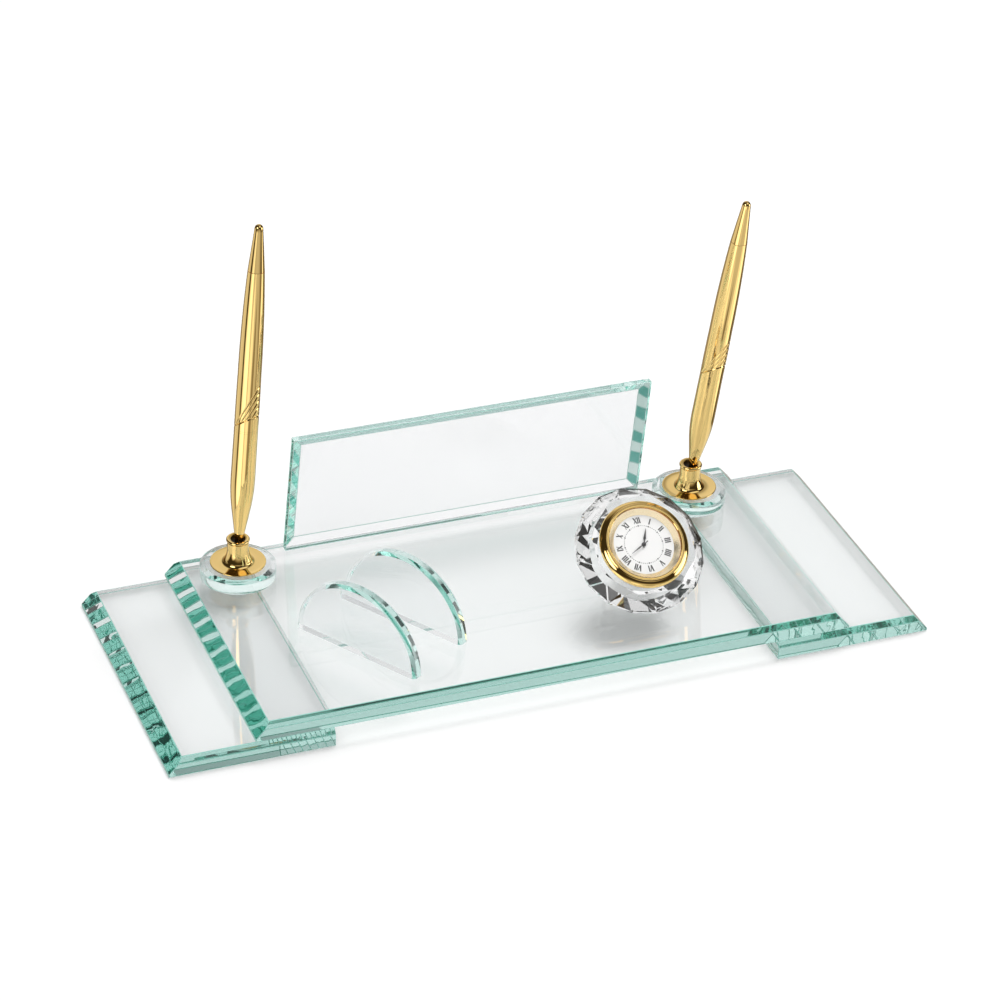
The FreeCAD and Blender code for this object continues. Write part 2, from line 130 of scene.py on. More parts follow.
def arc(a, b, radius, side=1, steps=12):
    # circular arc a -> b bulging to the right of the way along (left for side -1), without b
    a, b = np.array(a, float), np.array(b, float)
    chord = b - a
    length = np.linalg.norm(chord)
    right = np.array([chord[1], -chord[0]]) / length * side
    rise = math.sqrt(max(radius ** 2 - length ** 2 / 4, 0))
    centre = (a + b) / 2 - right * rise
    start = math.atan2(*(a - centre)[::-1])
    sweep = math.atan2(*(b - centre)[::-1]) - start
    sweep = (sweep + math.pi) % (2 * math.pi) - math.pi
    angles = start + sweep * np.arange(steps) / steps
    return [tuple(centre + radius * np.array([math.cos(t), math.sin(t)])) for t in angles]


def line(a, b, steps):
    # straight stretch a -> b without b
    return [tuple(np.array(a) + (np.array(b) - np.array(a)) * k / steps) for k in range(steps)]


def setInputs(node, values):
    for key, item in values.items():
        node.inputs[key].default_value = item


def setRamp(node, stops):
    for stop, (position, colour) in zip(node.color_ramp.elements, stops):
        stop.position = position
        stop.color = (*colour, 1)


def mathNode(tree, kind, *items):
    # items are numbers or sockets
    node = tree.nodes.new("ShaderNodeMath")
    node.operation = kind
    for entry, item in zip(node.inputs, items):
        if isinstance(item, (int, float)):
            entry.default_value = item
        else:
            tree.links.new(item, entry)
    return node.outputs[0]


def mixShaders(tree, factor, a, b):
    node = tree.nodes.new("ShaderNodeMixShader")
    for entry, item in zip(node.inputs, (factor, a, b)):
        tree.links.new(item, entry)
    return node.outputs[0]


def newMaterial(name):
    mat = bpy.data.materials.new(name)
    mat.use_nodes = True
    return mat, mat.node_tree.nodes["Principled BSDF"]


def plainMaterial(name, colour, rough, metal=0.0):
    mat, shader = newMaterial(name)
    setInputs(shader, {"Base Color": (*colour, 1), "Roughness": rough, "Metallic": metal})
    return mat


# the last colour tints painted light: a green emission on the glass standing in for scattered light
jade = {"ior": 1.52, "absorb": (0.05, 0.66, 0.54), "paintedGlowColour": (0.15, 0.5, 0.43)}
# sizes of the normal's z up to which a face counts as slanting, and from which as level
levelness = {"slant": 0.75, "level": 0.98}
waves = {"Scale": 90, "Detail": 1.5}


def leftBy(tree, upright, shares):
    # share of light that slanting faces let by, and level ones
    node = tree.nodes.new("ShaderNodeMapRange")
    setInputs(node, {"From Min": levelness["slant"], "From Max": levelness["level"],
                     "To Min": shares[0], "To Max": shares[1]})
    tree.links.new(upright, node.inputs["Value"])
    return node.outputs["Result"]


def waveEnds(tree, shader, endways, depth):
    # the ground ends wander a little, the other faces don't
    noise = tree.nodes.new("ShaderNodeTexNoise")
    setInputs(noise, waves)
    where = tree.nodes.new("ShaderNodeTexCoord")
    tree.links.new(where.outputs["Object"], noise.inputs["Vector"])
    bump = tree.nodes.new("ShaderNodeBump")
    setInputs(bump, {"Strength": 1.0, "Distance": depth * mm})
    tree.links.new(mathNode(tree, "MULTIPLY", endways, noise.outputs["Fac"]), bump.inputs["Height"])
    tree.links.new(bump.outputs["Normal"], shader.inputs["Normal"])


def glassMaterial(name, ior, tint, shade, absorb=(1, 1, 1), density=0.0, glow=0.0, spread=1.0, wavy=0.0):
    # shade: lamp light let by; spread: sky light let by slanting faces; glow: painted light, a green emission
    # standing in for light scattered along long paths
    mat, shader = newMaterial(name)
    tree = mat.node_tree
    setInputs(shader, {"Base Color": (*tint, 1), "Roughness": 0.0, "IOR": ior, "Transmission Weight": 1.0,
                       "Emission Color": (*jade["paintedGlowColour"], 1), "Emission Strength": glow})
    path = tree.nodes.new("ShaderNodeLightPath").outputs
    surface = tree.nodes.new("ShaderNodeNewGeometry")
    normal = tree.nodes.new("ShaderNodeSeparateXYZ")
    tree.links.new(surface.outputs["True Normal"], normal.inputs[0])
    if wavy:
        waveEnds(tree, shader, mathNode(tree, "ABSOLUTE", normal.outputs["X"]), wavy)
    upright = mathNode(tree, "ABSOLUTE", normal.outputs["Z"])
    either = tree.nodes.new("ShaderNodeMix")
    tree.links.new(path["Is Diffuse Ray"], either.inputs["Factor"])
    tree.links.new(leftBy(tree, upright, shade), either.inputs["A"])
    tree.links.new(leftBy(tree, upright, (spread, 1.0)), either.inputs["B"])
    clear = tree.nodes.new("ShaderNodeBsdfTransparent")
    tree.links.new(either.outputs["Result"], clear.inputs["Color"])
    passing = mathNode(tree, "MAXIMUM", path["Is Shadow Ray"], path["Is Diffuse Ray"])
    out = tree.nodes["Material Output"]
    tree.links.new(mixShaders(tree, passing, shader.outputs[0], clear.outputs[0]), out.inputs["Surface"])
    if density:
        volume = tree.nodes.new("ShaderNodeVolumeAbsorption")
        setInputs(volume, {"Color": (*absorb, 1), "Density": density})
        tree.links.new(volume.outputs[0], out.inputs["Volume"])
    return mat


def jadeMaterial(name, tint, shade, density=8.0, **more):
    return glassMaterial(name, jade["ior"], tint, shade, jade["absorb"], density, **more)


# painted reflection: scale and twist of the light and dark bands, and their emission, for the panel's end
# ground planes
bands = {"scale": 60, "distortion": 2.5, "detail": 1.0, "glow": 0.3,
         "stops": ((0.35, (0.10, 0.42, 0.36)), (0.62, (0.97, 1.0, 0.99)))}


def paintedBandsMaterial():
    # painted reflection: slanting light and dark bands in the colour and the emission stand in for the edges
    # that a ground plane mirrors
    mat = jadeMaterial("paintedBandsPlane", (1, 1, 1), (0.92, 0.99))
    tree = mat.node_tree
    where = tree.nodes.new("ShaderNodeTexCoord")
    wave = tree.nodes.new("ShaderNodeTexWave")
    wave.bands_direction = "DIAGONAL"
    setInputs(wave, {"Scale": bands["scale"], "Distortion": bands["distortion"], "Detail": bands["detail"]})
    ramp = tree.nodes.new("ShaderNodeValToRGB")
    setRamp(ramp, bands["stops"])
    shader = tree.nodes["Principled BSDF"]
    tree.links.new(where.outputs["Object"], wave.inputs["Vector"])
    tree.links.new(wave.outputs["Fac"], ramp.inputs["Fac"])
    for key in ("Base Color", "Emission Color"):
        tree.links.new(ramp.outputs["Color"], shader.inputs[key])
    setInputs(shader, {"Emission Strength": bands["glow"]})
    return mat


# painted light: each glass emits a little green, which lightens its edges
jadeGlass = jadeMaterial("jadeGlass", (0.966, 0.926, 0.939), (0.8, 0.995), density=5.8,
                         glow=0.004, spread=0.3, wavy=0.22)
clearJade = jadeMaterial("clearJade", (0.985, 0.962, 0.972), (0.92, 0.99), glow=0.003)
# a greyer copy of the glass for the panel: painted shade, so its face reads light grey
panelGlass = jadeMaterial("panelGlass", (0.905, 0.885, 0.898), (0.85, 0.99), glow=0.003)
# a lighter copy of the glass for the panel's top ground planes: painted light
palePlane = jadeMaterial("palePlane", (0.93, 1.0, 0.985), (0.92, 0.99))
paintedBandsPlane = paintedBandsMaterial()
arrisTeal = plainMaterial("arrisTeal", (0.32, 0.62, 0.55), 0.2)
# a paler copy of the arris colour for the panel's edges: painted light
arrisPale = plainMaterial("arrisPale", (0.68, 0.86, 0.82), 0.2)
crystalGlass = glassMaterial("crystalGlass", 1.56, (1, 1, 1), (0.94, 0.95))
lensGlass = glassMaterial("lensGlass", 1.45, (1, 1, 1), (0.98, 0.98))
gold = plainMaterial("gold", (0.98, 0.69, 0.26), 0.05, 1.0)
paleGold = plainMaterial("paleGold", (0.96, 0.80, 0.52), 0.22, 1.0)
dialWhite = plainMaterial("dialWhite", (0.97, 0.97, 0.96), 0.4)
inkBlack = plainMaterial("inkBlack", (0.012, 0.012, 0.013), 0.4)
blackPlastic = plainMaterial("blackPlastic", (0.012, 0.009, 0.006), 0.3)
setInputs(blackPlastic.node_tree.nodes["Principled BSDF"], {"Specular IOR Level": 0.15})
steel = plainMaterial("steel", (0.7, 0.7, 0.7), 0.25, 1.0)
rubber = plainMaterial("rubber", (0.03, 0.03, 0.03), 0.7)
print("materials done")

slotLooks = {"bevelled_glass": jadeGlass, "cut_crystal": crystalGlass, "polished_gold": gold,
             "lens_glass": lensGlass, "white_dial": dialWhite, "black_hands": inkBlack,
             "black_plastic": blackPlastic, "bright_steel": steel, "gasket_rubber": rubber}
for part in frame["record"]["subparts"]:
    node = frame["nodes"][part["node"]]
    node.data.materials.clear()
    node.data.materials.append(slotLooks[part["material_slot"]])

# plates and panel: stacked rings whose sides move in along the bevels; a fine arris rounds every edge
arrisCut = {"segments": 2, "angle": 12}


def stacked(name, rings, node, arris, glass, edgeLook):
    # rings[k] holds the corners of ring k; sides join ring k to k + 1, the first and last ring are closed
    rings = np.asarray(rings, float)
    count = rings.shape[1]
    faces = gridFaces(len(rings), count, True)
    faces += [list(range(count))[::-1], [(len(rings) - 1) * count + i for i in range(count)]]
    obj = makeMesh(name, rings.reshape(-1, 3), faces, Matrix(), glass, "stand", (node,),
                   smooth=False)
    edge = obj.modifiers.new("arris", "BEVEL")
    edge.width = arris * mm
    edge.segments = arrisCut["segments"]
    edge.limit_method = "ANGLE"
    edge.angle_limit = math.radians(arrisCut["angle"])
    obj.data.materials.append(edgeLook)
    edge.material = 1
    return obj


def glassPlate(name, node, x0, x1, y0, foot, leftBevel, rightBevel):
    # every plate ends at the rear of the base; a bevel of 0 leaves that end square
    y1 = halfDepth
    z = np.array([0, plate["endLand"], plate["thick"] - plate["longBevel"], plate["thick"]])
    inEnd = np.clip((z - plate["endLand"]) / (plate["thick"] - plate["endLand"]), 0, 1) * plate["endBevel"]
    inLong = np.clip(z - plate["thick"] + plate["longBevel"], 0, None)
    rings = [[(x0 + e * leftBevel, y0 + g, foot + h), (x1 - e * rightBevel, y0 + g, foot + h),
              (x1 - e * rightBevel, y1 - g, foot + h), (x0 + e * leftBevel, y1 - g, foot + h)]
             for e, g, h in zip(inEnd, inLong, z)]
    return stacked(name, rings, node, plate["arris"], jadeGlass, arrisTeal)


glassPlate("LeftPlate", "left_base_plate", -base["halfLength"], -base["lowerInner"], -halfDepth, 0, 1, 0)
glassPlate("RightPlate", "right_base_plate", base["lowerInner"], base["halfLength"], -halfDepth, 0, 0, 1)
glassPlate("TopPlate", "top_plate", -base["topHalfLength"], base["topHalfLength"],
           base["topSetback"] - halfDepth, plate["thick"] + bondGap, 1, 1)

panel = {"length": 148.5, "shift": 1.5, "height": 49.4, "slant": 3.1, "thick": 5.0, "bevel": 4.0,
         "bevelDepth": 2.0, "arris": 0.18, "setback": 2.8}
panelFront = halfDepth - panel["setback"] - panel["thick"]
# parts of a normal that tell the ground planes from the flat faces
groundPlane = {"least": 0.3, "rear": 0.97}
panelRings = []
for y, inset in ((0, 0), (panel["thick"] - panel["bevelDepth"], 0), (panel["thick"], panel["bevel"])):
    low, high = inset, panel["height"] - inset
    lean = panel["slant"] / panel["height"]
    half = panel["length"] / 2 - inset
    panelRings.append([(panel["shift"] + s * half + lean * h, panelFront + y, seat + h)
                       for s, h in ((-1, low), (-1, high), (1, high), (1, low))])
backPanel = stacked("BackPanel", panelRings, "back_panel", panel["arris"], panelGlass, arrisPale)
backPanel.data.materials.append(paintedBandsPlane)
backPanel.data.materials.append(palePlane)
# end ground planes take the painted reflection bands, top ground planes the lighter copy of the glass
for face in backPanel.data.polygons:  # the ground planes round the rear face
    slanting = groundPlane["least"] < face.normal.y < groundPlane["rear"]
    endPlane = abs(face.normal.x) > groundPlane["least"]
    topPlane = face.normal.z > groundPlane["least"]
    face.material_index = 2 * int(slanting and endPlane) + 3 * int(slanting and topPlane)
print("plates done")

# glass discs and gold sockets of the pen stands
disc = {"radius": 14.7, "height": 5.6, "bevel": 2.0, "bevelHeight": 1.0, "footEdge": 0.25}
socket = {"bore": 3.3, "lipBore": 2.9, "height": 10.8, "lipStart": 9.6, "collarStart": 6.2,
          "rimFoot": (10.65, 0), "rimTop": (10.6, 0.5), "rimRound": 0.26, "dish": 14,
          "bellFoot": (6.2, 0.45), "footRound": 1.6, "bellTurn": (5.3, 1.7), "bellCurve": 13,
          "collar": 4.15, "groove": 0.2, "lip": 4.15, "lipRise": 0.05, "lipRound": 0.62,
          "mouthDrop": 0.3, "mouthRound": 2.5}
standAt = {"left": (-95.1, halfDepth - 17.5), "right": (92.5, halfDepth - 20.2)}
socketFoot = seat + disc["height"] + bondGap


def discOutline():
    r, h = disc["radius"], disc["height"]
    return [(0, 0), (r - disc["footEdge"], 0), (r, disc["footEdge"]), (r, h - disc["bevelHeight"]),
            (r - disc["bevel"], h), (0, h)]


def socketOutline():
    collarFoot = (socket["collar"], socket["collarStart"])
    lipFoot = (socket["lip"], socket["lipStart"] + socket["lipRise"])
    lipTop = (socket["lip"], socket["height"])
    mouth = (socket["lipBore"], socket["height"] - socket["mouthDrop"])
    return ([(socket["bore"], 0), socket["rimFoot"]]
            + arc(socket["rimFoot"], socket["rimTop"], socket["rimRound"])
            + arc(socket["rimTop"], socket["bellFoot"], socket["dish"], -1, 16)
            + arc(socket["bellFoot"], socket["bellTurn"], socket["footRound"], -1, 8)
            + arc(socket["bellTurn"], collarFoot, socket["bellCurve"], -1, 14)
            + [collarFoot, (socket["collar"], socket["lipStart"] - socket["groove"])]
            + [(socket["collar"] - socket["groove"], socket["lipStart"]), lipFoot]
            + arc(lipFoot, lipTop, socket["lipRound"], 1, 10) + [lipTop]
            + arc(lipTop, mouth, socket["mouthRound"], 1, 6)
            + [mouth, (socket["lipBore"], socket["lipStart"]), (socket["bore"], socket["lipStart"])])


for side, (x, y) in standAt.items():
    lathe(side + "Disc", discOutline(), shift(x, y, seat), clearJade, "stand",
          (side + "_stand_disc",), closed=False, segs=128, sharp=20)
    lathe(side + "Socket", socketOutline(), shift(x, y, socketFoot), gold, "stand",
          (side + "_socket",), segs=128, sharp=40)
print("stands done")

# pens: turned barrels; points are (radius, height from the nose)
pen = {"depth": 8.0, "tipBore": 0.6, "tipBoreHeight": 13, "tip": 0.95, "nose": (1.15, 0.2),
       "neck": (1.65, 8.0), "cone": (3.6, 20.5), "shoulder": (4.65, 34.0), "shoulderCurve": 85,
       "seam": (4.55, 54.67), "seamInner": 3.3, "ringFoot": 54.7, "ringTop": 55.47, "ringInner": 3.25,
       "upperFoot": (4.55, 55.5), "belly": (4.45, 78.0), "bellyCurve": 1088,
       "upperEnd": (3.22, 119.9), "endCurve": 680, "upperEdge": ((3.21, 120.12), (3.17, 120.15)),
       "upperInner": 1.6}
finial = {"inner": 1.5, "foot": 120.25, "footEdge": 3.14, "start": (3.19, 120.3), "end": (1.6, 137.4),
          "dome": 1.635, "top": (0, 138.7)}
# the engraved line is a slanting plane: height on the axis, rise across the front, rise toward it, in degrees
engraving = {"left": {"line": 58.2, "slant": 27.0, "toward": 27.0, "facing": -107.8},
             "right": {"line": 57.0, "slant": 32.0, "toward": 38.4, "facing": -116.3}}
cuts = {"depth": 0.3, "width": 0.22, "count": 5, "first": -4.3, "pitch": 1.9, "fade": 0.5,
        "steep": 2.0, "steepShare": 0.6, "steepWidth": 2, "barrel": 4.5}
penStance = {"left": {"lean": 5.15, "heading": 33.7, "lip": (0.5, 0.2)},
             "right": {"lean": 10.3, "heading": -83.7, "lip": (0.7, -0.7)}}


def engraved(mark):
    # cuts round the barrel, each of depth exp(-((z - its line) / w)^2): the shallow one lies in the slanting
    # plane, the others leave it steeper, on the front half only
    slope = math.tan(math.radians(mark["slant"]))
    toward = math.tan(math.radians(mark["toward"]))

    def ripple(z, a):
        turn = (a - math.radians(mark["facing"]) + math.pi) % (2 * math.pi) - math.pi
        across = cuts["barrel"] * np.sin(turn)
        above = z - mark["line"] - toward * cuts["barrel"] * np.cos(turn)
        depth = np.exp(-((above - slope * across) / cuts["width"]) ** 2)
        for k in range(cuts["count"]):
            start = cuts["first"] + cuts["pitch"] * k
            rise = above - slope * start - cuts["steep"] * (across - start)
            window = (np.abs(turn) < math.pi / 2) * np.clip((across - start) / cuts["fade"], 0, 1)
            steep = np.exp(-(rise / (cuts["width"] * cuts["steepWidth"])) ** 2)
            depth = np.maximum(depth, cuts["steepShare"] * steep * window)
        return cuts["depth"] * depth
    return ripple


lowerProfile = ([(pen["tipBore"], pen["tipBoreHeight"]), (pen["tipBore"], 0), (pen["tip"], 0)]
                + line(pen["nose"], pen["neck"], 5) + line(pen["neck"], pen["cone"], 8)
                + arc(pen["cone"], pen["shoulder"], pen["shoulderCurve"], 1, 14)
                + line(pen["shoulder"], pen["seam"], 6) + [pen["seam"], (pen["seamInner"], pen["seam"][1])])
ringProfile = [(pen["ringInner"], pen["ringFoot"]), (pen["seam"][0], pen["ringFoot"]),
               (pen["seam"][0], pen["ringTop"]), (pen["ringInner"], pen["ringTop"])]
upperProfile = ([(pen["ringInner"], pen["upperFoot"][1])]
                + arc(pen["upperFoot"], pen["belly"], pen["bellyCurve"], 1, 220)
                + arc(pen["belly"], pen["upperEnd"], pen["endCurve"], 1, 30)
                + [pen["upperEnd"], *pen["upperEdge"], (pen["upperInner"], pen["upperEdge"][1][1])])
finialProfile = ([(finial["inner"], finial["foot"]), (finial["footEdge"], finial["foot"])]
                 + line(finial["start"], finial["end"], 12)
                 + arc(finial["end"], finial["top"], finial["dome"], 1, 10) + [finial["top"]])
for side, stance in penStance.items():
    x, y = standAt[side]
    lipX, lipY = stance["lip"]
    heading = math.radians(stance["heading"])
    drift = pen["depth"] * math.tan(math.radians(stance["lean"]))
    nose = shift(x + lipX - drift * math.cos(heading), y + lipY - drift * math.sin(heading),
                 socketFoot + socket["height"] - pen["depth"])
    place = nose @ turnZ(stance["heading"]) @ turnY(stance["lean"]) @ turnZ(-stance["heading"])
    lathe(side + "LowerBarrel", lowerProfile, place, gold, side + "_pen",
          (side + "_lower_barrel",), closed=False)
    lathe(side + "CentreRing", ringProfile, place, gold, side + "_pen",
          (side + "_centre_ring",))
    lathe(side + "UpperBarrel", upperProfile, place, gold, side + "_pen_top",
          (side + "_upper_barrel",), segs=320, ripple=engraved(engraving[side]), closed=False)
    lathe(side + "Finial", finialProfile, place, gold, side + "_pen_top",
          (side + "_finial",), closed=False)
print("pens done")

# half-round card rests, bevelled along the arc
rest = {"radius": 27.9, "thick": 5.0, "bevel": 1.2, "heading": -57.0, "x": -70.0, "y": 34.45 - halfDepth,
        "pitch": 28.5, "arcPoints": 97}


def cardRest(name, node, step):
    # P(t, a) = (r(t) cos a, y(t), r(t) sin a), a from 0 to pi, with a flat foot
    r, y, b = rest["radius"], rest["thick"], rest["bevel"]
    profile = np.array([(0, 0), (r - b, 0), (r, b), (r, y - b), (r - b, y), (0, y)])
    a = np.linspace(0, math.pi, rest["arcPoints"])
    rows, cols = len(profile), len(a)
    radius, across = profile[:, :1], np.broadcast_to(profile[:, 1:], (rows, cols))
    verts = np.stack([radius * np.cos(a), across, radius * np.sin(a)], -1).reshape(-1, 3)
    faces = gridFaces(rows, cols, False)
    faces.append([i * cols for i in range(rows)] + [i * cols + cols - 1 for i in range(rows - 2, 0, -1)])
    heading = math.radians(rest["heading"])
    foot = shift(rest["x"] - math.sin(heading) * step, rest["y"] + math.cos(heading) * step, seat)
    makeMesh(name, verts, faces, foot @ turnZ(rest["heading"]), clearJade, "stand",
             (node,), 20)


cardRest("FrontRest", "card_rest_front", 0)
cardRest("RearRest", "card_rest_rear", rest["pitch"])
print("rests done")

# clock: bezel, ring and dial marks; points are (radius, height from the cavity floor)
clock = {"x": 48.2, "y": 44.1 - halfDepth, "tilt": 37.0, "girdle": 25.8, "girdleHalf": 0.6, "crown": 6.3,
         "cavity": 11.0}
bezel = {"bore": 15, "foot": 11.1, "footEdge": (17.4, 11.1), "rim": (17.8, 11.5), "rimRound": 0.45,
         "shoulder": (16.0, 13.3), "swell": 3.2, "crest": (15.3, 13.66), "crestRound": 0.9,
         "groove": (14.75, 13.62), "grooveRound": 0.6, "lip": (14.45, 13.7), "lipRound": 0.4,
         "inner": 14.3, "lipFoot": 13.55, "ledge": 13.3}
dialRing = {"inner": 12.0, "outer": 14.9, "foot": 11.1, "top": 12.55, "topInner": 14.2, "slope": (12.2, 11.3)}
tilt = math.radians(clock["tilt"])
clockHeight = seat + clock["girdle"] * math.sin(tilt) + clock["girdleHalf"] * math.cos(tilt)
clockPlace = (shift(clock["x"], clock["y"], clockHeight) @ turnX(clock["tilt"])
              @ shift(0, 0, clock["crown"] - clock["cavity"]))
bezelProfile = ([(bezel["bore"], bezel["foot"]), bezel["footEdge"]]
                + arc(bezel["footEdge"], bezel["rim"], bezel["rimRound"])
                + arc(bezel["rim"], bezel["shoulder"], bezel["swell"], 1, 24)
                + arc(bezel["shoulder"], bezel["crest"], bezel["crestRound"], 1, 8)
                + arc(bezel["crest"], bezel["groove"], bezel["grooveRound"], -1, 6)
                + arc(bezel["groove"], bezel["lip"], bezel["lipRound"], -1, 4)
                + [bezel["lip"], (bezel["inner"], bezel["lipFoot"]), (bezel["inner"], bezel["ledge"]),
                   (bezel["bore"], bezel["ledge"])])
lathe("Bezel", bezelProfile, clockPlace, gold, "clock_insert", ("clock_bezel",), segs=160)
dialRingProfile = [(dialRing["inner"], dialRing["foot"]), (dialRing["outer"], dialRing["foot"]),
                   (dialRing["outer"], dialRing["top"]), (dialRing["topInner"], dialRing["top"]),
                   dialRing["slope"]]
lathe("DialRing", dialRingProfile, clockPlace, paleGold, "clock_insert", ("dial_ring",),
      segs=160, sharp=25)

# dial marks: a numeral's strokes run (from, to, width) in a box one high, its letters side by side
dial = {"numeralRadius": 9.9, "numeralHeight": 2.5, "narrow": 0.72, "dotRadius": 7.7, "dot": 0.17,
        "hourDot": 1.8, "dotSides": 8, "inkRise": 0.02}
markLevel = clock["cavity"] + dial["inkRise"]
strokes = {"I": [((0, 0), (0, 1), 0.27)],
           "V": [((-0.32, 1), (0, 0), 0.3), ((0.32, 1), (0, 0), 0.16)],
           "X": [((-0.32, 1), (0.32, 0), 0.3), ((0.32, 1), (-0.32, 0), 0.16)]}
letterWidths = {"I": 0.40, "V": 0.8, "X": 0.8}
numerals = ["XII", "I", "II", "III", "IIII", "V", "VI", "VII", "VIII", "IX", "X", "XI"]
markVerts, markFaces = [], []


def addMark(points):
    markFaces.append(list(range(len(markVerts), len(markVerts) + len(points))))
    markVerts.extend(points)


def addStroke(middle, start, end, width, angle):
    size = dial["numeralHeight"]
    quad = []
    for (px, py), way in ((start, -1), (start, 1), (end, 1), (end, -1)):
        u = (middle + px + way * width / 2) * size * dial["narrow"]
        v = (py - 0.5) * size + dial["numeralRadius"]
        quad.append((u * math.cos(angle) - v * math.sin(angle), u * math.sin(angle) + v * math.cos(angle),
                     markLevel))
    addMark(quad)


for hour, word in enumerate(numerals):
    left = -sum(letterWidths[letter] for letter in word) / 2
    for letter in word:
        for start, end, width in strokes[letter]:
            addStroke(left + letterWidths[letter] / 2, start, end, width, -math.radians(30 * hour))
        left += letterWidths[letter]
for minute in range(60):
    angle = -math.radians(6 * minute)
    cx, cy = -dial["dotRadius"] * math.sin(angle), dial["dotRadius"] * math.cos(angle)
    radius = dial["dot"] * (dial["hourDot"] if minute % 5 == 0 else 1)
    addMark([(cx + radius * math.cos(t), cy + radius * math.sin(t), markLevel)
             for t in np.linspace(0, 2 * math.pi, dial["dotSides"], endpoint=False)])
makeMesh("DialMarks", markVerts, markFaces, clockPlace, inkBlack, "clock_insert", smooth=False,
         closed=False)

# hands: leaf blades on a tube and an arbor; angles run clockwise from the dial's top,
# hub is (bore, radius, foot, top)
hands = {"HourHand": {"node": "hour_hand", "body": "hour_hand_turning", "angle": 22.0, "length": 6.6,
                      "tail": 1.5, "neck": 0.15, "belly": 0.52, "level": 11.35,
                      "hub": (0.42, 0.75, 9.65, 11.55)},
         "MinuteHand": {"node": "minute_hand", "body": "minute_hand_turning", "angle": 243.0, "length": 7.1,
                        "tail": 1.8, "neck": 0.14, "belly": 0.28, "level": 11.85,
                        "hub": (0.0, 0.35, 8.85, 12.25)}}
hand = {"thick": 0.2, "leafShare": 0.2, "bellyShare": 0.36, "tip": 0.03, "overlap": 0.05, "tailFlare": 1.6}


def prism(outline, low, high):
    n = len(outline)
    verts = [(x, y, z) for z in (low, high) for x, y in outline]
    sides = [[i, (i + 1) % n, n + (i + 1) % n, n + i] for i in range(n)]
    return verts, [list(range(n))[::-1], list(range(n, 2 * n))] + sides


def hubTube(inner, outer, low, high, segs=32):
    a = np.linspace(0, 2 * math.pi, segs, endpoint=False)
    rings = [(inner, low), (outer, low), (outer, high), (inner, high), (inner, low)]
    verts = [(r * math.cos(t), r * math.sin(t), z) for r, z in rings for t in a]
    return verts, gridFaces(len(rings), segs, True)


def halves(widths):
    # outline from half widths w at distances y: up the right side, down the left
    return [(w, y) for w, y in widths] + [(-w, y) for w, y in reversed(widths)]


for name, h in hands.items():
    root = h["hub"][1] - hand["overlap"]
    level, top = h["level"], h["level"] + hand["thick"]
    blade = halves([(h["neck"], root), (h["neck"], h["length"] * hand["leafShare"]),
                    (h["belly"], h["length"] * hand["bellyShare"]), (hand["tip"], h["length"])])
    tail = halves([(h["neck"] * hand["tailFlare"], -h["tail"]), (h["neck"], -root)])
    verts, faces = [], []
    for more, moreFaces in (prism(blade, level, top), prism(tail, level, top), hubTube(*h["hub"])):
        faces += [[i + len(verts) for i in face] for face in moreFaces]
        verts += more
    makeMesh(name, verts, faces, clockPlace @ turnZ(-h["angle"]), inkBlack, h["body"],
             (h["node"],))
print("clock done")

# floor, in metres: it turns into plain white backdrop between near and far from the middle
sweep = {"size": 8, "drop": 0.0002, "near": 0.4, "far": 0.8}


def floorMaterial():
    mat = plainMaterial("floorWhite", (0.93, 0.93, 0.93), 1.0)
    tree = mat.node_tree
    shader = tree.nodes["Principled BSDF"]
    setInputs(shader, {"Specular IOR Level": 0.0})
    where = tree.nodes.new("ShaderNodeTexCoord")
    reach = tree.nodes.new("ShaderNodeVectorMath")
    reach.operation = "LENGTH"
    tree.links.new(where.outputs["Object"], reach.inputs[0])
    fade = tree.nodes.new("ShaderNodeMapRange")
    fade.interpolation_type = "SMOOTHSTEP"
    setInputs(fade, {"From Min": sweep["near"], "From Max": sweep["far"]})
    tree.links.new(reach.outputs["Value"], fade.inputs["Value"])
    path = tree.nodes.new("ShaderNodeLightPath")
    seen = mathNode(tree, "MULTIPLY", fade.outputs["Result"], path.outputs["Is Camera Ray"])
    white = tree.nodes.new("ShaderNodeEmission")
    surface = mixShaders(tree, seen, shader.outputs[0], white.outputs[0])
    tree.links.new(surface, tree.nodes["Material Output"].inputs["Surface"])
    return mat


bpy.ops.mesh.primitive_plane_add(size=sweep["size"], location=(0, 0, -sweep["drop"]))
floor = bpy.context.object
floor.name = "Floor"
floor.data.materials.append(floorMaterial())
floor.visible_glossy = False  # gold mirrors the room, glass still shows the floor

# what polished gold mirrors: a dim room with white boxes and a few dark ones;
# each is (direction, cosine where it starts, cosine where it is full, level)
boxes = {"ceiling": ((0.35, -0.35, 0.9), 0.88, 0.96, 0.9),
         "left": ((-0.75, -0.42, 0.5), 0.95, 0.96, 3.0),
         "right": ((0.92, -0.37, 0.05), 0.95, 0.96, 3.0),
         "backHigh": ((0.2, 0.8, 0.55), 0.955, 0.985, 0.35),
         "backWide": ((0.3, 0.75, 0.58), 0.75, 0.93, 0.36),
         "table": ((-0.15, -0.6, -0.78), 0.45, 0.8, 0.6),
         "lowLeft": ((-0.78, -0.48, -0.39), 0.91, 0.985, 1.15),
         "lowRight": ((0.81, -0.28, -0.52), 0.955, 0.98, 1.3),
         "lowSide": ((-0.79, 0.44, -0.43), 0.88, 0.97, 0.7),
         "lowBack": ((0.2, 0.85, -0.5), 0.4, 0.9, 0.3),
         "darkFront": ((0.14, -0.88, -0.45), 0.982, 0.994, -0.35),
         "brightFront": ((-0.28, -0.86, -0.41), 0.975, 0.99, 0.55),
         "darkFootLeft": ((-0.66, -0.25, -0.71), 0.984, 0.996, -0.4),
         "darkFootRight": ((0.02, -0.62, -0.78), 0.986, 0.997, -0.4),
         "brightFoot": ((-0.36, -0.54, -0.76), 0.978, 0.994, 0.6),
         "brightFootRight": ((0.48, -0.43, -0.77), 0.96, 0.99, 0.5)}
